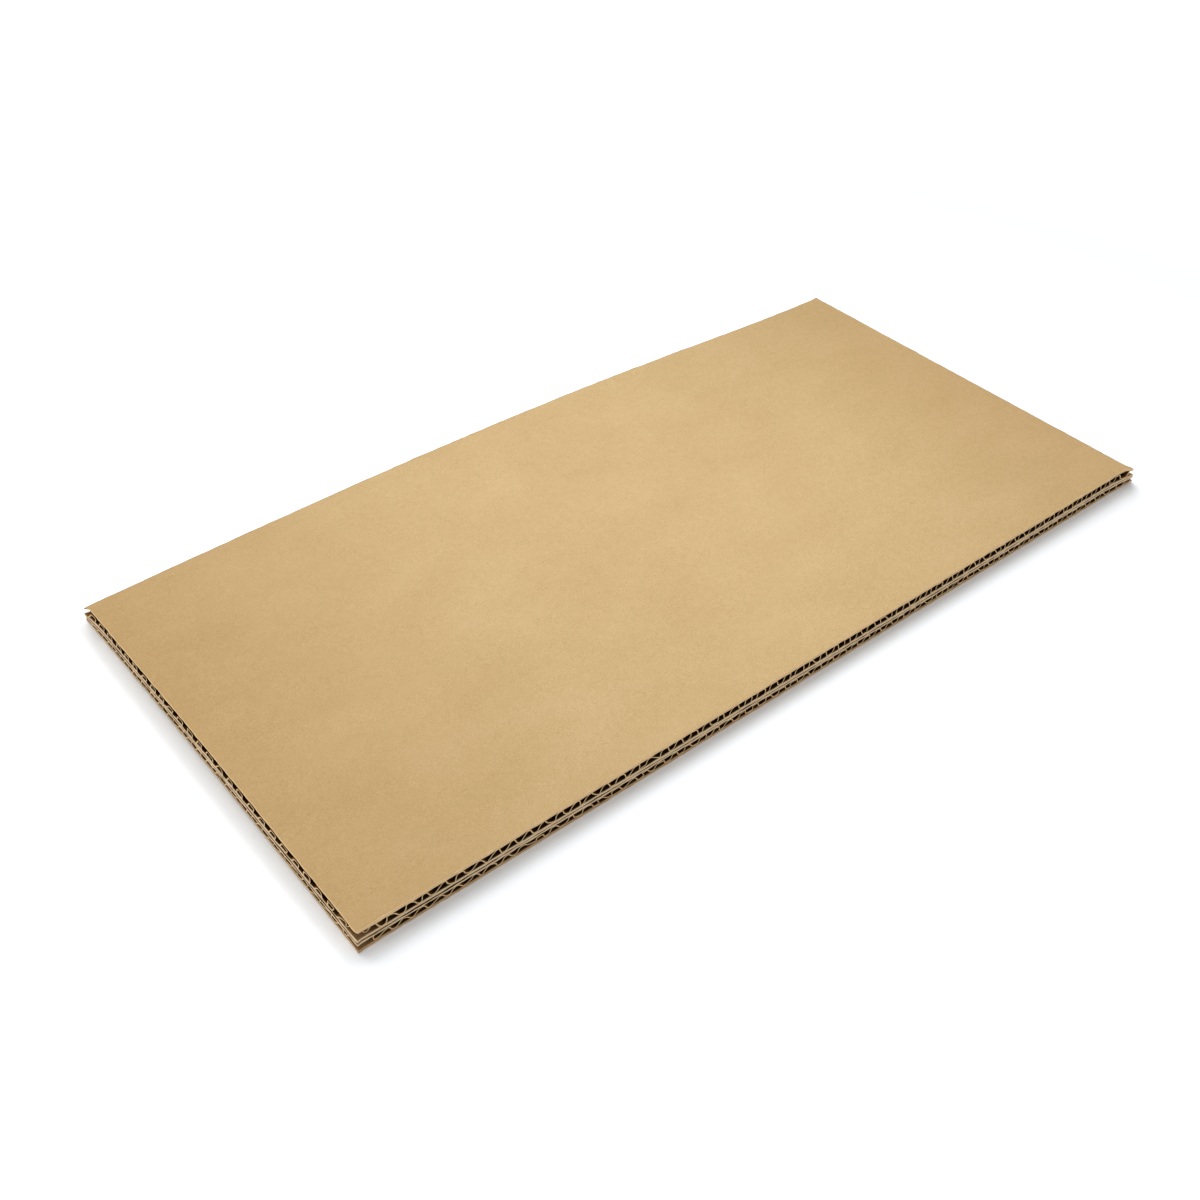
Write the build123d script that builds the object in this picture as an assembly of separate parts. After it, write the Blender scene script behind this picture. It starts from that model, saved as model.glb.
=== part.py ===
from build123d import *
from math import ceil, cos, floor, hypot, pi, radians, sin, tan
import os

# Corrugated cardboard sheet, double wall: two fluted layers between four flat papers.
# Millimetres. The origin is the middle of the underside, X runs along the length,
# Y from the front edge to the back edge and Z up.

# Outline
sheet_length = 522.0
sheet_width = 250.0

# Papers
liner_thickness = 1.45
medium_thickness = 0.5
glue_gap = 0.02

# Flutes run slantwise, leaning from the width toward the right end
lower_flute_height = 3.3
upper_flute_height = 4.4
flute_pitch = 6.35
flute_angle = 43.0

# Wave, as shares of one flute and of its half height, and where a crest first stands
shoulder_share = 0.15
shoulder_height = 0.72
lower_shift = 0.58
upper_shift = 0.9

# Bow of the back edge above the ground
bow_height = 6.9
bow_fade = 8
bow_spans = 48

flute_lean = sheet_width * tan(radians(flute_angle))
flute_step = flute_pitch / cos(radians(flute_angle))
left_end = -sheet_length / 2
right_end = sheet_length / 2
front_edge = -sheet_width / 2
back_edge = sheet_width / 2

# The front section starts this far out, so that every flute on the sheet is met
section_start = left_end - flute_lean - flute_step
section_end = right_end + flute_step

# Right of the line from here to the back right corner the sheet lies flat
flat_start = right_end - flute_lean


def lift(x):
    """Height of the back edge above the ground, fading out at the right end."""
    share = min((x - left_end) / sheet_length, 1)
    return bow_height * sin(pi * share) * (1 - share**bow_fade) ** 2


def on_front(x, z):
    """A section point on the front edge, which lies flat."""
    return Vector(x, front_edge, z)


def on_back(x, z):
    """A section point on the back edge, which is bowed up."""
    return Vector(x, back_edge, z + lift(x))


def trimmed(body):
    """A paper cut to the sheet's outline."""
    return body & Box(sheet_length, sheet_width, 2 * sheet_width)


def bowed_section(put, start, end, underside):
    """Edge section of a flat paper, through points set by the given edge function."""
    span = (end - start) / bow_spans
    places = [start + index * span for index in range(bow_spans + 1)]
    bottom, top = [
        Spline(*[put(x, z) for x in places])
        for z in (underside, underside + liner_thickness)
    ]
    right = Line(bottom @ 1, top @ 1)
    left = Line(top @ 0, bottom @ 0)
    return Wire([bottom.edge(), right.edge(), top.edge(), left.edge()])


def liner(underside):
    """A flat paper whose lower face lies at the given height."""
    front = bowed_section(on_front, section_start, flat_start, underside)
    back = bowed_section(on_back, section_start + flute_lean, right_end, underside)
    bowed_part = Solid.make_loft([front, back], ruled=True)
    corners = [
        on_front(flat_start, underside),
        on_front(section_end, underside),
        on_back(section_end + flute_lean, underside),
        on_back(right_end, underside),
    ]
    flat_part = extrude(make_face(Polyline(*corners, close=True)), liner_thickness)
    return trimmed(bowed_part + flat_part)


def wave(swing, shift):
    """Corners of the waved paper's middle line, swinging this far to each side."""
    first = floor((section_start - left_end) / flute_step)
    last = ceil((section_end - left_end) / flute_step)
    half = [(-shoulder_share, shoulder_height), (0, 1), (shoulder_share, shoulder_height)]
    corners = []
    for index in range(first, last + 1):
        for middle, side in ((index + shift, swing), (index + shift + 0.5, -swing)):
            corners += [(left_end + flute_step * (middle + u), side * w) for u, w in half]
    return corners


def beside(points, distance):
    """The line at a distance above a line of points, without its two end points."""
    moved = []
    for (x0, z0), (x1, z1), (x2, z2) in zip(points, points[1:], points[2:]):
        before = hypot(x1 - x0, z1 - z0)
        after = hypot(x2 - x1, z2 - z1)
        nx = -(z1 - z0) / before - (z2 - z1) / after
        nz = (x1 - x0) / before + (x2 - x1) / after
        reach = 2 * distance / (nx * nx + nz * nz)
        moved.append((x1 + nx * reach, z1 + nz * reach))
    return moved


def fluting(underside, height, shift):
    """A waved paper that fills a space of this height, but for the glue gaps."""
    middle_line = wave((height - medium_thickness) / 2, shift)
    above = beside(middle_line, medium_thickness / 2)
    below = beside(middle_line, -medium_thickness / 2)
    fit = (height / 2 - glue_gap) / max(z for x, z in above)
    outline = [(x, underside + height / 2 + fit * z) for x, z in below + above[::-1]]
    sections = []
    for lean, put in ((0, on_front), (flute_lean, on_back)):
        corners = [put(x + lean, z) for x, z in outline]
        sections.append(Wire(Polyline(*corners, close=True).edges()))
    return trimmed(Solid.make_loft(sections, ruled=True))


# Undersides of the papers, from the ground up
lower_space = liner_thickness
lower_inner = lower_space + lower_flute_height
upper_inner = lower_inner + liner_thickness + glue_gap
upper_space = upper_inner + liner_thickness
top = upper_space + upper_flute_height

plies = {
    "bottom_liner": liner(0),
    "lower_fluting": fluting(lower_space, lower_flute_height, lower_shift),
    "lower_inner_liner": liner(lower_inner),
    "upper_inner_liner": liner(upper_inner),
    "upper_fluting": fluting(upper_space, upper_flute_height, upper_shift),
    "top_liner": liner(top),
}

os.makedirs("parts", exist_ok=True)
for name, body in plies.items():
    body.label = name
    export_step(body, f"parts/{name}.step")
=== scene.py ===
from math import cos, pi, radians, tan

import bpy
import numpy as np
from mathutils import Matrix, Vector


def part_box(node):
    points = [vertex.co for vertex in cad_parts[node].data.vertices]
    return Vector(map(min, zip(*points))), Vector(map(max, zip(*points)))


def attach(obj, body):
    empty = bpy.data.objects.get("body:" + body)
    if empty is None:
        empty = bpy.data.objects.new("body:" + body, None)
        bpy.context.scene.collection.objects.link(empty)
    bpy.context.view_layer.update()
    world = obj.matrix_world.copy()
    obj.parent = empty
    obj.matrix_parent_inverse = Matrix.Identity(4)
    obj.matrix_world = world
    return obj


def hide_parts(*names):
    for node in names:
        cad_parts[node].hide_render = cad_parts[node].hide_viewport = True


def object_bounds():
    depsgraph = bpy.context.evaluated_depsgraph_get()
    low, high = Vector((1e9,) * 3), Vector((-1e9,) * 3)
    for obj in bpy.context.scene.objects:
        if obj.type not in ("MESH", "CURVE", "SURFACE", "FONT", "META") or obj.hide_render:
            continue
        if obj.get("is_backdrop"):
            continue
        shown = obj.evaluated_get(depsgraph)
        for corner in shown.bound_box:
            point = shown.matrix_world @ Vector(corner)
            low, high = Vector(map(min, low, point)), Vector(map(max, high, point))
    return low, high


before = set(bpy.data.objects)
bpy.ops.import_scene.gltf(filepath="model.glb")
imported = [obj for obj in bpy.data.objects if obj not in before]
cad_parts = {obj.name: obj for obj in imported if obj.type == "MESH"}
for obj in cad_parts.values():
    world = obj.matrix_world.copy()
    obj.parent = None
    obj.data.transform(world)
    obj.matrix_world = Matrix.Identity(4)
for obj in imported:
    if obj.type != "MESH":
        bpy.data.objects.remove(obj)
solid_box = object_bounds()

bl_info = {
    "name": "Corrugated cardboard sheet",
    "version": (1, 0, 0),
    "blender": (4, 5, 0),
    "location": "3D View > Sidebar > Cardboard",
    "description": "Double-wall corrugated sheet with open, slightly worn cut edges",
    "category": "Object",
}

MM = 0.001
outline_low, outline_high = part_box("bottom_liner")
middle_x = (outline_low.x + outline_high.x) / 2
middle_y = (outline_low.y + outline_high.y) / 2


# Sizes and colours

class SheetSizes(bpy.types.PropertyGroup):
    """Sizes of the sheet and of its papers."""

    length: bpy.props.FloatProperty(
        name="Length", description="Long side of the sheet",
        default=outline_high.x - outline_low.x, unit="LENGTH")
    width: bpy.props.FloatProperty(
        name="Width", description="Short side of the sheet",
        default=outline_high.y - outline_low.y, unit="LENGTH")
    liner: bpy.props.FloatProperty(
        name="Flat paper", description="Thickness of each flat paper",
        default=1.45 * MM, unit="LENGTH")
    medium: bpy.props.FloatProperty(
        name="Waved paper", description="Thickness of each waved paper",
        default=0.5 * MM, unit="LENGTH")
    glue_gap: bpy.props.FloatProperty(
        name="Glue gap", description="Gap at each glue line",
        default=0.02 * MM, unit="LENGTH")
    lower_height: bpy.props.FloatProperty(
        name="Lower flutes", description="Height of the lower fluted layer",
        default=3.3 * MM, unit="LENGTH")
    upper_height: bpy.props.FloatProperty(
        name="Upper flutes", description="Height of the upper fluted layer",
        default=4.4 * MM, unit="LENGTH")
    pitch: bpy.props.FloatProperty(
        name="Flute pitch", description="From crest to crest, square to the flutes",
        default=6.35 * MM, unit="LENGTH")
    angle: bpy.props.FloatProperty(
        name="Flute angle", description="From the width toward the right end",
        default=radians(43), subtype="ANGLE")
    crest_width: bpy.props.FloatProperty(
        name="Crest width", description="How flat the crests are", default=1.15)
    lower_shift: bpy.props.FloatProperty(
        name="Lower shift", description="First lower crest, in flutes", default=0.58)
    upper_shift: bpy.props.FloatProperty(
        name="Upper shift", description="First upper crest, in flutes", default=0.9)
    bow: bpy.props.FloatProperty(
        name="Bow", description="Height of the back edge above the ground",
        default=6.9 * MM, unit="LENGTH")
    bow_fade: bpy.props.IntProperty(
        name="Bow fade", description="How late the bow fades out", default=8)
    fray: bpy.props.FloatProperty(
        name="Fray", description="How far the cut edges wander",
        default=0.09 * MM, unit="LENGTH")
    crush_depth: bpy.props.FloatProperty(
        name="Crushed depth", description="How far in the cut has bent the flutes",
        default=4.0 * MM, unit="LENGTH")


def colour_property(name, description, default):
    return bpy.props.FloatVectorProperty(
        name=name, description=description, default=default,
        subtype="COLOR", size=3, min=0, max=1)


class PaperColours(bpy.types.PropertyGroup):
    """Colours of the papers."""

    face: colour_property("Face", "Outer kraft faces", (0.640, 0.447, 0.219))
    # The inner papers are darker than the face: partly their own colour, partly painted shade
    # of the hollows
    inside: colour_property("Inside", "Inner flat papers", (0.430, 0.252, 0.115))
    # The waved papers are darker than their cut edges: partly their own colour, partly painted
    # shade of the hollows
    medium: colour_property("Medium", "Waved papers", (0.290, 0.150, 0.058))
    cut: colour_property("Cut edge", "Cut edges of the inner papers", (0.900, 0.680, 0.440))
    lip: colour_property("Lip", "Cut edge of the top paper", (0.950, 0.670, 0.370))
    foot: colour_property("Foot", "Cut edge of the bottom paper", (0.620, 0.410, 0.215))
    # A darker colour along the back and right arrises
    arris: colour_property(
        "Far arris", "Darker arrises at the back and right", (0.330, 0.185, 0.085))
    web: colour_property("Web", "Cut edges of the waved papers", (0.880, 0.605, 0.320))


# Form of the sheet

def back_lift(sizes, x):
    """Height of the back edge above the ground."""
    share = np.clip((x - middle_x + sizes.length / 2) / sizes.length, None, 1)
    fade = (1 - share ** sizes.bow_fade) ** 2
    return sizes.bow * np.sin(pi * share) * fade


def lift(sizes, x, y):
    """Height of the sheet above the ground, straight along the flutes."""
    back = (y - middle_y) / sizes.width + 0.5
    at_back = x + (1 - back) * sizes.width * tan(sizes.angle)
    return back * back_lift(sizes, at_back)


# Levels of the bottom, inner and top liners, and for each worn corner how far it sticks
# out at those levels along X, along Y and how far the pull reaches inward, in millimetres
LEVELS = (0.0, 0.5, 1.0)
WORN_CORNERS = (
    ((-1, 1), (-0.3, -0.9, -2.0), (6.3, 3.3, -0.4), (9.5, 7.5, 1.3)),
    ((1, -1), (7.9, 4.9, 0.9), (-0.3, -1.7, -2.4), (9.5, 7.5, 1.3)),
    ((1, 1), (3.0, 1.5, 0.3), (2.4, 1.2, 0.5), (9.5, 7.5, 2.0)),
    ((-1, -1), (-0.2, 0.1, 0.1), (-0.4, -0.4, -0.5), (1.6, 1.0, 1.0)),
)


def pulled(sizes, x, y, level):
    """Places near the corners drawn outward, by how high up the sheet they are."""
    moved_x, moved_y = x, y
    for (corner_x, corner_y), *at_levels in WORN_CORNERS:
        pull_x, pull_y, reach = (np.interp(level, LEVELS, values) * MM for values in at_levels)
        apart_x = x - middle_x - corner_x * sizes.length / 2
        apart_y = y - middle_y - corner_y * sizes.width / 2
        near = np.exp(-(apart_x ** 2 + apart_y ** 2) / (2 * reach ** 2))
        moved_x = moved_x + pull_x * near
        moved_y = moved_y + pull_y * near
    return moved_x, moved_y


def wander(seed, places, spacing, amount):
    """Smooth seeded wandering along a line of places."""
    reach = places.max() - places.min() + 2 * spacing
    knots = int(reach / spacing) + 3
    values = np.random.default_rng(seed).normal(0, amount, knots)
    at = places.min() - spacing + np.arange(knots) * spacing
    return np.interp(places, at, values)


def new_piece(name, points, faces, finishes, finish_of_face):
    """A shaded mesh piece that rides with the sheet."""
    mesh = bpy.data.meshes.new(name)
    mesh.from_pydata(points.tolist(), [], faces)
    for finish in finishes:
        mesh.materials.append(finish)
    mesh.polygons.foreach_set("material_index", finish_of_face)
    mesh.polygons.foreach_set("use_smooth", [True] * len(faces))
    mesh.set_sharp_from_angle(angle=radians(50))
    mesh.validate()
    piece = bpy.data.objects.new(name, mesh)
    bpy.context.scene.collection.objects.link(piece)
    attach(piece, "root")
    return piece


# Flat papers

# Cells of the inner grid each way, and how many fine points its edge has for each cell
COARSE_X, COARSE_Y, FINE = 60, 28, 6
EDGE_INSET = 2.0 * MM

# How far the seam between the inner papers opens, how much more near the front left
# corner, and how far that reaches
SEAM_OPENING, SEAM_AT_CORNER, SEAM_REACH = 0.95, 0.8, 90 * MM


def ring_places():
    """Where the points of one turn round the outline stand, from -1 to 1."""
    along = np.linspace(-1, 1, COARSE_X * FINE + 1)[:-1]
    across = np.linspace(-1, 1, COARSE_Y * FINE + 1)[:-1]
    x = np.concatenate([along, np.ones_like(across), -along, -np.ones_like(across)])
    y = np.concatenate([-np.ones_like(along), across, np.ones_like(along), -across])
    return x, y


# Inset and depth of each ring of an arris, in millimetres: eased by wear or split open
EASED = ((2.0, 0.0), (1.1, 0.0), (0.6, 0.012), (0.32, 0.045), (0.13, 0.13), (0.03, 0.26))
SPLIT = ((2.0, 0.0), (1.6, 0.07), (1.2, 0.12), (0.7, 0.15), (0.25, 0.18), (0.03, 0.26))


def ring_point(i, j, count):
    """Which point of a ring stands at a corner of the inner grid's edge."""
    if j == 0:
        place = i * FINE
    elif i == COARSE_X:
        place = (COARSE_X + j) * FINE
    elif j == COARSE_Y:
        place = (2 * COARSE_X + COARSE_Y - i) * FINE
    else:
        place = (2 * COARSE_X + 2 * COARSE_Y - j) * FINE
    return place % count


def cell_side(a, b, ring_start, grid_start, count):
    """Points from one grid corner up to the next, with the fine ones of the ring between."""
    edge_a = a[0] in (0, COARSE_X) or a[1] in (0, COARSE_Y)
    same_x = a[0] == b[0] and a[0] in (0, COARSE_X)
    same_y = a[1] == b[1] and a[1] in (0, COARSE_Y)
    if same_x or same_y:
        place = ring_point(*a, count)
        step = 1 if (ring_point(*b, count) - place) % count == FINE else -1
        return [ring_start + (place + step * k) % count for k in range(FINE)]
    if edge_a:
        return [ring_start + ring_point(*a, count)]
    return [grid_start + (a[0] - 1) * (COARSE_Y - 1) + a[1] - 1]


def face_cells(ring_start, grid_start, count):
    """Cells of a paper's face, whose outer ones end on its innermost ring."""
    for i in range(COARSE_X):
        for j in range(COARSE_Y):
            corners = ((i, j), (i + 1, j), (i + 1, j + 1), (i, j + 1))
            loop = []
            for a, b in zip(corners, corners[1:] + corners[:1]):
                loop += cell_side(a, b, ring_start, grid_start, count)
            yield loop


def flat_paper(sizes, name, underside, level, seed, slants, rounding, finishes):
    """A flat paper with eased, slightly frayed cut edges.

    The slants say how far inward the left cut stands at the top and at the bottom, and
    how far the front cut goes inward below. The rounding gives the inset and the depth
    of each ring from the upper and from the lower face. All are in millimetres.
    """
    thick = sizes.liner
    ring_x, ring_y = ring_places()
    count = len(ring_x)
    half_x = sizes.length / 2
    half_y = sizes.width / 2
    run = np.concatenate([
        [0],
        np.cumsum(np.hypot(np.diff(ring_x) * half_x, np.diff(ring_y) * half_y)),
    ])

    # Outward reach of the cut at the top, the middle and the bottom of the paper
    broad = wander(seed, run, 14 * MM, 0.6 * sizes.fray)
    reaches = [
        broad
        + wander(seed + step, run, 3.1 * MM, 0.6 * sizes.fray)
        + wander(seed + step + 10, run, 1.5 * MM, 0.5 * sizes.fray)
        for step in (1, 2, 3)
    ]
    ease = 1 + 0.35 * wander(seed + 30, run, 4 * MM, 1.0)
    ease = np.clip(ease, 0.35, 1.8)
    from_near_corner = np.hypot((ring_x + 1) * half_x, (ring_y + 1) * half_y)
    opening = SEAM_OPENING + SEAM_AT_CORNER * np.exp(-(from_near_corner / SEAM_REACH) ** 2)
    upper_ease = ease * (opening if rounding[0] is SPLIT else 1)
    lower_ease = ease * opening if rounding[1] is SPLIT else ease[::-1]

    # Inset and height of each ring, which cut line it follows and its share of the slant
    rings = []
    for inset, depth in rounding[0]:
        rings.append((inset, thick - depth * MM * upper_ease, reaches[0], 0.05))
    for share in (0.64, 0.5, 0.36):
        middle_reach = reaches[1] * 0.7 - 0.05 * MM
        rings.append((0.0, np.full(count, thick * share), middle_reach, 1 - share))
    for inset, depth in rounding[1][::-1]:
        rings.append((inset, depth * MM * lower_ease, reaches[2], 0.95))

    points = []
    for inset, height, out, share in rings:
        full = np.clip(1 - inset * MM / EDGE_INSET, 0, 1)
        left_top, left_bottom, front = (slant * MM for slant in slants)
        left = left_top + (left_bottom - left_top) * share
        out_x = np.where(abs(ring_x) == 1, out, 0) - np.where(ring_x == -1, left, 0)
        out_y = np.where(abs(ring_y) == 1, out, 0) - np.where(ring_y == -1, front * share, 0)
        x = middle_x + ring_x * (half_x - inset * MM + out_x * full)
        y = middle_y + ring_y * (half_y - inset * MM + out_y * full)
        z = underside + height + lift(sizes, x, y)
        x, y = pulled(sizes, x, y, level)
        points.append(np.stack([x, y, z], 1))

    # Each kind is the place of a finish: upper face, cut, lower face, far and left arris
    faces, kinds = [], []
    arris = np.where((ring_x == 1) | (ring_y == 1), 3, np.where(ring_x == -1, 4, 1))
    face_rings = [5 if side is SPLIT else 3 for side in rounding]
    last = len(rings) - 1
    for ring in range(last):
        kind = 0 if ring < face_rings[0] else 2 if ring >= last - face_rings[1] else 1
        on_arris = kind == 1 and ring < len(rounding[0]) - 1
        for place in range(count):
            after = (place + 1) % count
            faces.append((
                ring * count + place, (ring + 1) * count + place,
                (ring + 1) * count + after, ring * count + after))
            kinds.append(arris[place] if on_arris else kind)

    # Inner grid of each face, joined to the fine ring by faces with many corners
    grid_start = len(rings) * count
    grid_x = np.linspace(-1, 1, COARSE_X + 1)[1:-1]
    grid_y = np.linspace(-1, 1, COARSE_Y + 1)[1:-1]
    gx, gy = np.meshgrid(grid_x, grid_y, indexing="ij")
    for height, ring, turned in ((thick, 0, False), (0.0, last, True)):
        x = middle_x + gx.ravel() * (half_x - EDGE_INSET)
        y = middle_y + gy.ravel() * (half_y - EDGE_INSET)
        z = underside + height + lift(sizes, x, y)
        x, y = pulled(sizes, x, y, level)
        points.append(np.stack([x, y, z], 1))
        for loop in face_cells(ring * count, grid_start, count):
            faces.append(loop[::-1] if turned else loop)
            kinds.append(2 if turned else 0)
        grid_start += len(x)
    return new_piece(name, np.concatenate(points), faces, finishes, kinds)


# Waved papers

# Points in each flute, rows of points near each cut in millimetres from it, and between
FLUTE_POINTS = 26
END_ROWS = (0.0, 0.45, 1.0, 1.8, 2.9, 4.4, 6.6, 10.0)
MIDDLE_ROWS = 3

# Crests are rounder near this place on the front edge, and squarer toward the left cut
ROUND_FROM_CORNER, ROUND_REACH = 50 * MM, 85 * MM
SQUARE_AT_LEFT, SQUARE_REACH = 0.9, 25 * MM

# Wear at the front left corner, and how the left cut has bent and thickened the webs
CORNER_WEAR, CORNER_REACH = 4.0 * MM, 5 * MM
LEFT_LEAN, LEFT_REACH, LEFT_SWELL = 1.0 * MM, 0.2 * MM, 6
CUT_SWELL = 0.05


def band_faces(count, total):
    """Faces of a closed band between an upper and a lower layer of rows of points."""
    base = count * total
    faces, kinds = [], []
    for row in range(total - 1):
        for i in range(count - 1):
            a, b = row * count + i, row * count + i + 1
            c, d = b + count, a + count
            faces += [(a, b, c, d), (base + d, base + c, base + b, base + a)]
            kinds += [0, 0]
    for row, turned in ((0, False), (total - 1, True)):
        for i in range(count - 1):
            a = row * count + i
            quad = (base + a, base + a + 1, a + 1, a)
            faces.append(quad[::-1] if turned else quad)
            kinds.append(1)
    for i, turned in ((0, True), (count - 1, False)):
        for row in range(total - 1):
            a, d = row * count + i, (row + 1) * count + i
            quad = (base + a, base + d, d, a)
            faces.append(quad[::-1] if turned else quad)
            kinds.append(1)
    return faces, kinds


def waved_paper(sizes, name, underside, height, level, shift, seed, finishes):
    """A waved paper whose flutes are bent a little where they are cut."""
    half_x = sizes.length / 2
    half_y = sizes.width / 2
    lean = sizes.width * tan(sizes.angle)
    step = sizes.pitch / cos(sizes.angle)
    swing = (height - sizes.medium) / 2 - sizes.glue_gap

    # Lines along the flutes, by where they would cross the front edge
    first = -half_x - lean
    fine = np.arange(
        np.ceil((first + half_x) / step * FLUTE_POINTS), half_x / step * 2 * FLUTE_POINTS)
    lines = -half_x + fine * step / FLUTE_POINTS
    lines = lines[(lines > first + 0.5 * MM) & (lines < half_x - 0.5 * MM)]
    lines = np.unique(np.concatenate([lines, [-half_x, half_x - lean]]))
    phase = (lines + half_x) / step - shift
    start = np.clip((-half_x - lines) / lean, 0, 1)
    end = np.clip((half_x - lines) / lean, 0, 1)
    run = (end - start) * np.hypot(lean, sizes.width)

    # Slow differences from flute to flute, and how the cut has bent each of them
    def per_flute(step_seed, amount, spacing=0.5):
        return wander(seed + step_seed, phase, spacing, amount)

    phase = phase + per_flute(1, 0.045, 1.0)
    near_corner = np.exp(-((lines + half_x - ROUND_FROM_CORNER) / ROUND_REACH) ** 2)
    away = (1 - near_corner) * np.clip(2.0 + per_flute(2, 0.7), 0.6, 3.2)
    at_left_end = np.clip((-half_x - lines) / SQUARE_REACH, 0, SQUARE_AT_LEFT)
    square = sizes.crest_width * (1 + away) * (1 + at_left_end)
    wave = np.tanh(square * np.cos(2 * pi * phase)) / np.tanh(square)
    slope = np.gradient(swing * wave, lines)
    across = 1 / np.sqrt(1 + slope ** 2)
    bends = []
    for seed_step in (10, 20):
        tilt = per_flute(seed_step, 0.55 * MM)
        buckle = per_flute(seed_step + 1, 0.5 * MM)
        crushed = np.clip(per_flute(seed_step + 2, 0.22) - 0.12, 0, 0.45)
        trim = np.clip(0.2 * MM + per_flute(seed_step + 3, 0.15 * MM, 0.25), 0, 0.6 * MM)
        trim = np.where(start > 0, trim - LEFT_REACH, trim)
        bends.append((tilt, buckle, crushed, trim))

    # Distance of each row from the cut it belongs to
    short = np.clip(run / (2.2 * END_ROWS[-1] * MM), 0, 1)
    at_corner = CORNER_WEAR * np.exp(-((lines + half_x) / CORNER_REACH) ** 2)
    rows = []
    for distance in END_ROWS:
        rows.append((0, distance * MM * short, start))
    for share in np.linspace(0, 1, MIDDLE_ROWS + 2)[1:-1]:
        rows.append((None, share, None))
    for distance in END_ROWS[::-1]:
        rows.append((1, distance * MM * short, end))

    along = np.hypot(lean, sizes.width)
    edge = END_ROWS[-1] * MM * short / along
    sides = {1: [], -1: []}
    for which, distance, cut in rows:
        if which is None:
            back = start + edge + (end - start - 2 * edge) * distance
            tilt = buckle = crushed = swell = 0 * lines
            at_side = np.zeros_like(lines, bool)
        else:
            tilt, buckle, crushed, trim = bends[which]
            near = np.exp(-distance / sizes.crush_depth)
            sign = 1 if which == 0 else -1
            settle = np.clip(1 - distance / (3 * MM), 0, 1)
            worn_back = at_corner * (1 - distance / (END_ROWS[-1] * MM)) * (which == 0)
            swell = CUT_SWELL * np.exp(-distance / (0.7 * MM))
            back = cut + sign * (distance + trim * short * settle + worn_back) / along
            tilt, buckle, crushed = tilt * near, buckle * near, crushed * near
            at_side = start > 0 if which == 0 else end < 1
            at_left = at_side & (which == 0)
            tilt = tilt + np.where(at_left, LEFT_LEAN * near, 0)
            swell = swell * np.where(at_left, LEFT_SWELL, 1)
        crest = wave * (1 - crushed)
        sideways = tilt * wave + buckle * (1 - wave ** 2)
        for side in (1, -1):
            thick = side * sizes.medium / 2 * (1 + swell)
            dx = sideways - thick * slope * across
            x = lines + back * lean
            y = middle_y - half_y + back * sizes.width
            x = np.where(at_side, x, x + dx)
            y = np.where(at_side, y - dx / tan(sizes.angle), y)
            z = swing * crest + thick * across
            z = np.clip(z, sizes.glue_gap - height / 2, height / 2 - sizes.glue_gap)
            z = z + underside + height / 2 + lift(sizes, x, y)
            x, y = pulled(sizes, x + middle_x, y, level)
            sides[side].append(np.stack([x, y, z], 1))

    points = np.concatenate(sides[1] + sides[-1])
    faces, kinds = band_faces(len(lines), len(rows))
    return new_piece(name, points, faces, finishes, kinds)


# Finishes

class Value:
    """A shader socket that takes part in sums as a number does."""

    def __init__(self, finish, socket):
        self.finish = finish
        self.socket = socket

    def maths(self, operation, first, second):
        return self.finish.node(
            "ShaderNodeMath", {"operation": operation}, {0: first, 1: second})

    def __add__(self, other):
        return self.maths("ADD", self, other)

    def __radd__(self, other):
        return self.maths("ADD", other, self)

    def __sub__(self, other):
        return self.maths("SUBTRACT", self, other)

    def __rsub__(self, other):
        return self.maths("SUBTRACT", other, self)

    def __mul__(self, other):
        return self.maths("MULTIPLY", self, other)

    def __rmul__(self, other):
        return self.maths("MULTIPLY", other, self)


class Finish:
    """A procedural material and the nodes that make it."""

    def __init__(self, owner):
        owner.use_nodes = True
        self.owner = owner
        self.tree = owner.node_tree
        self.tree.nodes.clear()

    def node(self, kind, settings=None, inputs=None, output=0):
        """A node, set up first and then given its values and links."""
        made = self.tree.nodes.new(kind)
        for name, value in (settings or {}).items():
            setattr(made, name, value)
        for name, value in (inputs or {}).items():
            if isinstance(value, Value):
                self.tree.links.new(value.socket, made.inputs[name])
            else:
                made.inputs[name].default_value = value
        return Value(self, made.outputs[output]) if made.outputs else made

    def millimetres(self):
        """Place on the sheet in millimetres."""
        place = self.node("ShaderNodeTexCoord", output=3)
        return self.node(
            "ShaderNodeVectorMath", {"operation": "SCALE"}, {0: place, "Scale": 1000.0})

    def stretched(self, place, along, across, up):
        """A place scaled differently along each axis."""
        return self.node(
            "ShaderNodeVectorMath", {"operation": "MULTIPLY"},
            {0: place, 1: (along, across, up)})

    def turned(self, place, angle):
        """A place turned about the upright axis."""
        return self.node(
            "ShaderNodeVectorRotate", {"rotation_type": "Z_AXIS"},
            {"Vector": place, "Angle": angle})

    def noise(self, place, scale, detail=3.0, rough=0.55):
        """Noise from 0 to 1 with its mean at one half."""
        return self.node(
            "ShaderNodeTexNoise", None,
            {"Vector": place, "Scale": scale, "Detail": detail, "Roughness": rough})

    def spread(self, value, low, high, start=0.0, finish=1.0):
        """A value mapped from one range onto another and held at its ends."""
        return self.node(
            "ShaderNodeMapRange", {"clamp": True},
            {"Value": value, "From Min": low, "From Max": high,
             "To Min": start, "To Max": finish})

    def mix(self, factor, first, second, way="MIX"):
        """One colour over another."""
        return self.node(
            "ShaderNodeMix", {"data_type": "RGBA", "blend_type": way},
            {0: factor, 6: first, 7: second}, output=2)

    def paper(self, colour, roughness, height, bump, gloss):
        """The paper's shader with its colour, roughness and small relief."""
        relief = self.node(
            "ShaderNodeBump", None, {"Strength": bump, "Distance": 0.00012, "Height": height})
        shader = self.node("ShaderNodeBsdfPrincipled", None, {
            "Base Color": colour, "Roughness": roughness, "Normal": relief,
            "Specular IOR Level": gloss})
        self.node("ShaderNodeOutputMaterial", None, {"Surface": shader})


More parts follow.
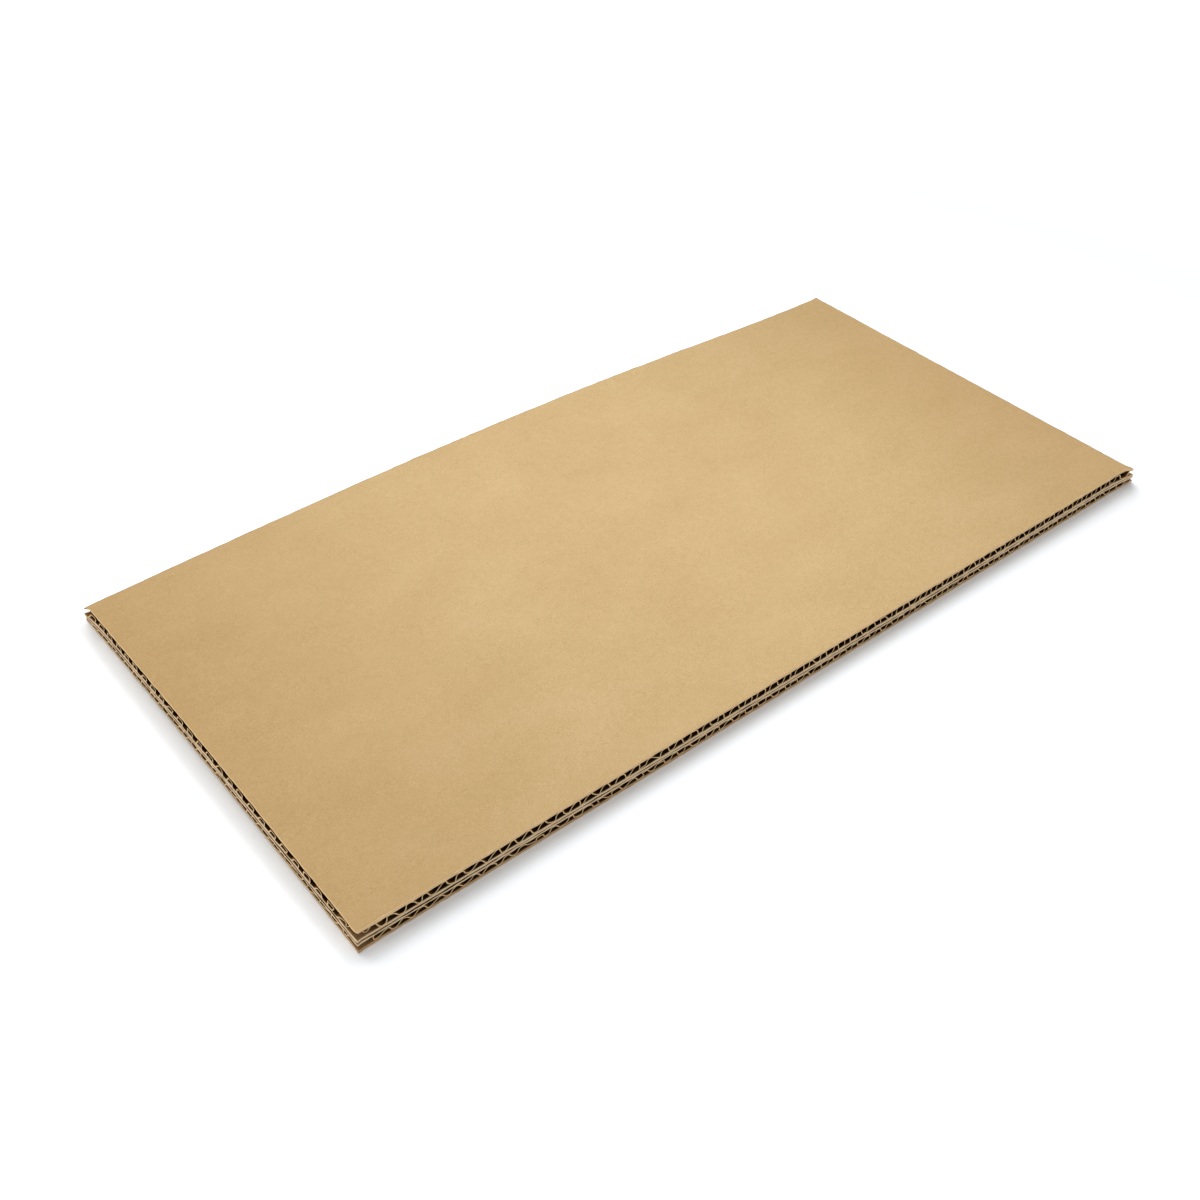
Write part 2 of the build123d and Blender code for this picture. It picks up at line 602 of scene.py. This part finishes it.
def tinted(colour, factor, warmth=0.0):
    """A colour made lighter or darker, and a little warmer or cooler."""
    red, green, blue = colour
    return (
        min(red * factor * (1 + 0.3 * warmth), 1),
        min(green * factor, 1),
        min(blue * factor * (1 - warmth), 1),
        1,
    )


def kraft_face(name, colour, sizes, cloud=1.0, shade_from=None):
    """Smooth kraft paper: soft clouds, fine mottle and short fibres.

    An inner face gets painted shade of the hollows, from a start to an end given in millimetres
    inward; an outer face gets painted shade toward its ends and is darker along the far
    arrises.
    """
    finish = Finish(bpy.data.materials.new(name))
    place = finish.millimetres()
    clouds = finish.noise(finish.stretched(place, 1, 1.6, 1), 0.022, 3, 0.5)
    mottle = finish.noise(place, 0.22, 4, 0.6)
    grain = finish.noise(place, 1.9, 3, 0.7)
    fibres = [
        finish.noise(finish.stretched(finish.turned(place, turn), 0.35, 3.2, 1), 0.9, 2, 0.6)
        for turn in (0.25, 1.35, 2.4)
    ]
    specks = finish.noise(finish.stretched(finish.turned(place, 0.7), 0.6, 1.5, 1), 2.4, 1, 0.5)
    cloud_share, mottle_share, grain_share, fibre_share = 0.58 * cloud, 0.50, 2.4, 0.45
    tone = (
        clouds * cloud_share + mottle * mottle_share + grain * grain_share
        + fibres[0] * fibre_share + fibres[1] * fibre_share + fibres[2] * fibre_share
    )
    middle = (cloud_share + mottle_share + grain_share + 3 * fibre_share) / 2
    light = finish.spread(tone, middle - 0.48, middle + 0.48)
    base = finish.mix(light, tinted(colour, 0.84, 0.10), tinted(colour, 1.16, -0.08))
    fleck = finish.spread(specks, 0.70, 0.80, 0.0, 0.28)
    base = finish.mix(fleck, base, tinted(colour, 0.55, 0.1))
    pale = finish.spread(fibres[1], 0.68, 0.80, 0.0, 0.22)
    base = finish.mix(pale, base, tinted(colour, 1.35, -0.12))
    # Painted shade: inner faces darken away from the cut edge, outer faces toward the sheet's
    # ends
    if shade_from:
        base = shaded_inward(finish, place, base, colour, sizes, *shade_from)
    else:
        base = end_shade_and_dark_arris(finish, place, base, colour, sizes, mottle)
    roughness = finish.spread(mottle, 0.3, 0.7, 0.70, 0.82)
    height = fibres[0] * 0.5 + fibres[2] * 0.5 + grain * 0.6
    finish.paper(base, roughness, height, 0.35, 0.0 if shade_from else 0.12)
    return finish.owner


def along_and_across(finish, place):
    """The place along the length and across the width."""
    return [
        finish.node("ShaderNodeSeparateXYZ", None, {0: place}, output=axis) for axis in (0, 1)]


def end_shade_and_dark_arris(finish, place, base, colour, sizes, mottle):
    """Outer paper with painted shade toward its ends, where less light falls, and darker along
    the far arrises.
    """
    x, y = along_and_across(finish, place)
    centre, slant, start, end = 25, 0.12, 130, 290
    apart = finish.node(
        "ShaderNodeMath", {"operation": "ABSOLUTE"}, {0: x - centre - y * slant})
    # Painted shade: the sheet's ends are multiplied browner
    ends = finish.spread(apart, start, end)
    base = finish.mix(ends, base, (0.90, 0.845, 0.775, 1), "MULTIPLY")
    # A darker line along the back and right arrises
    back = y - sizes.width / MM / 2
    right = x - sizes.length / MM / 2
    nearer = finish.node("ShaderNodeMath", {"operation": "MAXIMUM"}, {0: back, 1: right})
    line = finish.spread(nearer + mottle * 0.6, -0.55, 0.15, 0.0, 0.75)
    return finish.mix(line, base, tinted(colour, 0.42, 0.25))


def from_outline(finish, place, sizes):
    """How far in from the nearest cut edge a place is, in millimetres."""
    inward = [
        side / MM / 2 - finish.node("ShaderNodeMath", {"operation": "ABSOLUTE"}, {0: value})
        for side, value in zip((sizes.length, sizes.width), along_and_across(finish, place))
    ]
    return finish.node(
        "ShaderNodeMath", {"operation": "MINIMUM"}, {0: inward[0], 1: inward[1]})


def shaded_inward(finish, place, base, colour, sizes, start, end):
    """Painted shade of the hollows: paper darker and browner away from the cut edge, less so at
    the near corner.
    """
    hollow_shade = finish.spread(from_outline(finish, place, sizes), start, end)
    corner = (-sizes.length / MM / 2, -sizes.width / MM / 2, 0)
    apart = finish.node(
        "ShaderNodeVectorMath", {"operation": "DISTANCE"},
        {0: finish.stretched(place, 1, 1, 0), 1: corner}, output="Value")
    hollow_shade = hollow_shade * finish.spread(apart, 5, 20, 0.45, 1.0)
    return finish.mix(hollow_shade, base, tinted(colour, 0.075, 0.35))


def medium_face(name, colour, sizes):
    """Rougher waved paper, a little streaky along the flutes, with painted shade away from the
    cut edge.
    """
    finish = Finish(bpy.data.materials.new(name))
    place = finish.millimetres()
    along = finish.turned(place, sizes.angle - pi / 2)
    streak = finish.noise(finish.stretched(along, 0.12, 1.4, 1), 0.8, 3, 0.6)
    mottle = finish.noise(place, 0.5, 4, 0.65)
    grain = finish.noise(place, 2.6, 3, 0.7)
    tone = streak * 0.8 + mottle * 0.8 + grain * 0.5
    light = finish.spread(tone, 0.55, 1.55)
    base = finish.mix(light, tinted(colour, 0.80, 0.06), tinted(colour, 1.18, -0.04))
    base = shaded_inward(finish, place, base, colour, sizes, -1.6, 1.0)
    roughness = finish.spread(mottle, 0.3, 0.7, 0.78, 0.9)
    finish.paper(base, roughness, grain + streak * 0.5, 0.5, 0.0)
    return finish.owner


def cut_edge(name, colour, layers):
    """Cut paper: torn layers that run along the edge, with loose pale fibres."""
    finish = Finish(bpy.data.materials.new(name))
    place = finish.millimetres()
    layer = finish.noise(finish.stretched(place, 0.16, 0.16, layers), 1.0, 3, 0.6)
    patch = finish.noise(finish.stretched(place, 0.5, 0.5, 0.8), 0.35, 3, 0.6)
    grain = finish.noise(finish.stretched(place, 1.0, 1.0, 2.0), 2.2, 3, 0.7)
    tone = layer * 1.0 + patch * 0.7 + grain * 0.6
    light = finish.spread(tone, 0.75, 1.55)
    base = finish.mix(light, tinted(colour, 0.74, 0.08), tinted(colour, 1.05, -0.03))
    roughness = finish.spread(grain, 0.3, 0.7, 0.82, 0.95)
    finish.paper(base, roughness, layer + grain * 0.7, 0.8, 0.08)
    return finish.owner


def shared_finish(name, maker, *details):
    """A finish by its name, made the first time that it is asked for."""
    return bpy.data.materials.get(name) or maker(name, *details)


def finishes_for(colours, sizes):
    """The finishes that the papers share, by name."""
    return {
        "face": shared_finish("kraft_face", kraft_face, tuple(colours.face), sizes),
        # The inside and waved finishes carry painted shade of the hollows, darker away from the
        # cut edge
        "inside": shared_finish(
            "kraft_inside", kraft_face, tuple(colours.inside), sizes, 0.6, (-1.1, 1.0)),
        "medium": shared_finish("fluting_paper", medium_face, tuple(colours.medium), sizes),
        "cut": shared_finish("cut_inner_paper", cut_edge, tuple(colours.cut), 5.0),
        # The seam finish is the inner papers' colour with painted shade starting right at the
        # cut edge, so the split between them shows as a dark line
        "seam": shared_finish(
            "kraft_seam", kraft_face, tuple(colours.inside), sizes, 0.6, (-1.6, 0.0)),
        "lip": shared_finish("cut_top_paper", cut_edge, tuple(colours.lip), 5.0),
        "arris": shared_finish("dark_far_arris", cut_edge, tuple(colours.arris), 5.0),
        "foot": shared_finish("cut_bottom_paper", cut_edge, tuple(colours.foot), 5.0),
        "web": shared_finish("cut_fluting", cut_edge, tuple(colours.web), 2.0),
    }


# Pieces

def undersides(sizes):
    """Height of each paper's underside."""
    lower_space = sizes.liner
    lower_inner = lower_space + sizes.lower_height
    upper_inner = lower_inner + sizes.liner + sizes.glue_gap
    upper_space = upper_inner + sizes.liner
    return {
        "bottom_liner": 0.0,
        "lower_fluting": lower_space,
        "lower_inner_liner": lower_inner,
        "upper_inner_liner": upper_inner,
        "upper_fluting": upper_space,
        "top_liner": upper_space + sizes.upper_height,
    }


class CARDBOARD_OT_flat_papers(bpy.types.Operator):
    """Make the four flat papers"""

    bl_idname = "cardboard.flat_papers"
    bl_label = "Flat papers"

    def execute(self, context):
        sizes = context.scene.sheet_sizes
        colours = context.scene.paper_colours
        heights = undersides(sizes)
        finishes = finishes_for(colours, sizes)
        papers = {
            "bottom_liner": (
                "bottom_liner", 0.0, 100, (0.0, 0.0, 0.0), (EASED, EASED),
                ("inside", "foot", "face", "foot", "foot")),
            "lower_inner_liner": (
                "inner_liner", 0.46, 200, (-0.10, -0.20, -0.12), (SPLIT, EASED),
                ("seam", "cut", "inside", "cut", "cut")),
            "upper_inner_liner": (
                "inner_liner", 0.56, 300, (0.10, 0.0, -0.05), (EASED, SPLIT),
                ("inside", "cut", "seam", "cut", "cut")),
            "top_liner": (
                "top_liner", 1.0, 400, (0.0, 1.0, -0.35), (EASED, EASED),
                ("face", "lip", "inside", "arris", "lip")),
        }
        for node, (slot, level, seed, slants, rounding, layers) in papers.items():
            piece = flat_paper(
                sizes, "paper_" + node, heights[node], level, seed, slants, rounding,
                [finishes[layer] for layer in layers])
            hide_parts(node)
        return {"FINISHED"}


class CARDBOARD_OT_waved_papers(bpy.types.Operator):
    """Make the two waved papers between the flat ones"""

    bl_idname = "cardboard.waved_papers"
    bl_label = "Waved papers"

    def execute(self, context):
        sizes = context.scene.sheet_sizes
        colours = context.scene.paper_colours
        heights = undersides(sizes)
        finishes = finishes_for(colours, sizes)
        papers = {
            "lower_fluting": (sizes.lower_height, 0.23, sizes.lower_shift, 500),
            "upper_fluting": (sizes.upper_height, 0.75, sizes.upper_shift, 600),
        }
        for node, (height, level, shift, seed) in papers.items():
            piece = waved_paper(
                sizes, "paper_" + node, heights[node], height, level, shift, seed,
                [finishes["medium"], finishes["web"]])
            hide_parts(node)
        return {"FINISHED"}


# Stage

# Each lamp's name, kind, place, target and settings
LAMPS = (
    ("window", "SUN", (0.08, 1.0, 1.0), (0, 0, 0), {"energy": 1.3, "angle": radians(50)}),
    ("overhead", "AREA", (0.04, 0.055, 0.47), (0.04, 0.055, 0), {"energy": 0.80, "size": 0.25}),
    ("left_fill", "AREA", (-1.1, -0.1, 0.30), (-0.2, 0, 0), {"energy": 2.9, "size": 0.6}),
    ("front_fill", "AREA", (0.1, -1.4, 0.28), (0, -0.1, 0), {"energy": 3.0, "size": 0.9}),
)

# The camera stands to the left in front of the sheet and looks down across it
SENSOR_WIDTH, LENS = 36, 42.378
CAMERA_PLACE = (-0.40976, -0.44063, 0.48039)
CAMERA_RIGHT = Vector((0.772047, -0.635104, 0.024212))
CAMERA_DOWN = Vector((-0.399962, -0.515104, -0.758088))
CAMERA_AHEAD = Vector((0.493936, 0.575596, -0.651702))


def floor_finish(shown, lit):
    """Pale floor that the camera sees as white and that keeps the shadow.

    It is shown at one brightness near the sheet, and as plain white far from it, where
    less light falls. The other brightness is the one that lights the sheet from below.
    """
    finish = Finish(bpy.data.materials.new("pale_floor"))
    seen = seen_directly(finish)
    away = finish.node(
        "ShaderNodeVectorMath", {"operation": "LENGTH"}, {0: finish.millimetres()},
        output="Value")
    near = (shown * 0.97, shown, shown * 1.025, 1)
    far_start, far_end = 500, 1300
    white = finish.mix(finish.spread(away, far_start, far_end), near, (2, 2, 2, 1))
    colour = finish.mix(seen, (lit, lit, lit, 1), white)
    shader = finish.node("ShaderNodeBsdfDiffuse", None, {"Color": colour})
    finish.node("ShaderNodeOutputMaterial", None, {"Surface": shader})
    return finish.owner


def seen_directly(finish):
    """One for rays from the camera or off a gloss, and zero for the rest."""
    path = "ShaderNodeLightPath"
    camera = finish.node(path, output="Is Camera Ray")
    gloss = finish.node(path, output="Is Glossy Ray")
    clear = finish.node(path, output="Is Transmission Ray")
    return finish.spread(camera + gloss + clear, 0, 1)


def lamp(name, kind, place, target, settings):
    """A lamp that points at a place."""
    light = bpy.data.lights.new(name, kind)
    for key, value in settings.items():
        setattr(light, key, value)
    holder = bpy.data.objects.new(name, light)
    holder.location = place
    holder.rotation_euler = (Vector(target) - Vector(place)).to_track_quat("-Z", "Y").to_euler()
    holder.visible_camera = False
    bpy.context.scene.collection.objects.link(holder)


class CARDBOARD_OT_stage(bpy.types.Operator):
    """Set up the floor, the light and the camera"""

    bl_idname = "cardboard.stage"
    bl_label = "Stage"

    def execute(self, context):
        scene = context.scene
        scene.view_settings.view_transform = "Standard"

        half = 8.0
        mesh = bpy.data.meshes.new("floor")
        ground = -0.03 * MM
        turns = ((-1, -1), (1, -1), (1, 1), (-1, 1))
        corners = [(half * x, half * y, ground) for x, y in turns]
        mesh.from_pydata(corners, [], [(0, 1, 2, 3)])
        mesh.materials.append(floor_finish(shown=1.29, lit=0.80))
        floor = bpy.data.objects.new("floor", mesh)
        scene.collection.objects.link(floor)
        floor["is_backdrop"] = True

        world = bpy.data.worlds.new("studio")
        scene.world = world
        sky = Finish(world)
        seen = seen_directly(sky)
        white = (1, 1, 1, 1)
        light, shown = (
            sky.node("ShaderNodeBackground", None, {"Color": white, "Strength": strength})
            for strength in (0.36, 1.0))
        surface = sky.node("ShaderNodeMixShader", None, {0: seen, 1: light, 2: shown})
        sky.node("ShaderNodeOutputWorld", None, {"Surface": surface})

        for name, kind, place, target, settings in LAMPS:
            lamp(name, kind, place, target, settings)

        camera = bpy.data.cameras.new("camera")
        camera.sensor_width = SENSOR_WIDTH
        camera.lens = LENS
        holder = bpy.data.objects.new("camera", camera)
        turn = Matrix((CAMERA_RIGHT, -CAMERA_DOWN, -CAMERA_AHEAD)).transposed()
        holder.matrix_world = Matrix.Translation(CAMERA_PLACE) @ turn.to_4x4()
        scene.collection.objects.link(holder)
        scene.camera = holder
        return {"FINISHED"}


class CARDBOARD_PT_sheet(bpy.types.Panel):
    """Sizes, colours and steps of the sheet"""

    bl_label = "Cardboard sheet"
    bl_space_type = "VIEW_3D"
    bl_region_type = "UI"
    bl_category = "Cardboard"

    def draw(self, context):
        layout = self.layout
        for owner in (context.scene.sheet_sizes, context.scene.paper_colours):
            box = layout.box()
            for name in owner.__annotations__:
                box.prop(owner, name)
        for step in STEPS:
            layout.operator(step.bl_idname)


STEPS = (CARDBOARD_OT_flat_papers, CARDBOARD_OT_waved_papers, CARDBOARD_OT_stage)
CLASSES = (SheetSizes, PaperColours, *STEPS, CARDBOARD_PT_sheet)


def register():
    for item in CLASSES:
        bpy.utils.register_class(item)
    bpy.types.Scene.sheet_sizes = bpy.props.PointerProperty(type=SheetSizes)
    bpy.types.Scene.paper_colours = bpy.props.PointerProperty(type=PaperColours)


def unregister():
    del bpy.types.Scene.paper_colours
    del bpy.types.Scene.sheet_sizes
    for item in reversed(CLASSES):
        bpy.utils.unregister_class(item)


def main():
    register()
    bpy.ops.cardboard.flat_papers()
    bpy.ops.cardboard.waved_papers()
    bpy.ops.cardboard.stage()
    boxes = {"solids": solid_box, "pieces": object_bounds()}
    listed = {name: [list(corner) for corner in box] for name, box in boxes.items()}


if __name__ == "__main__":
    main()
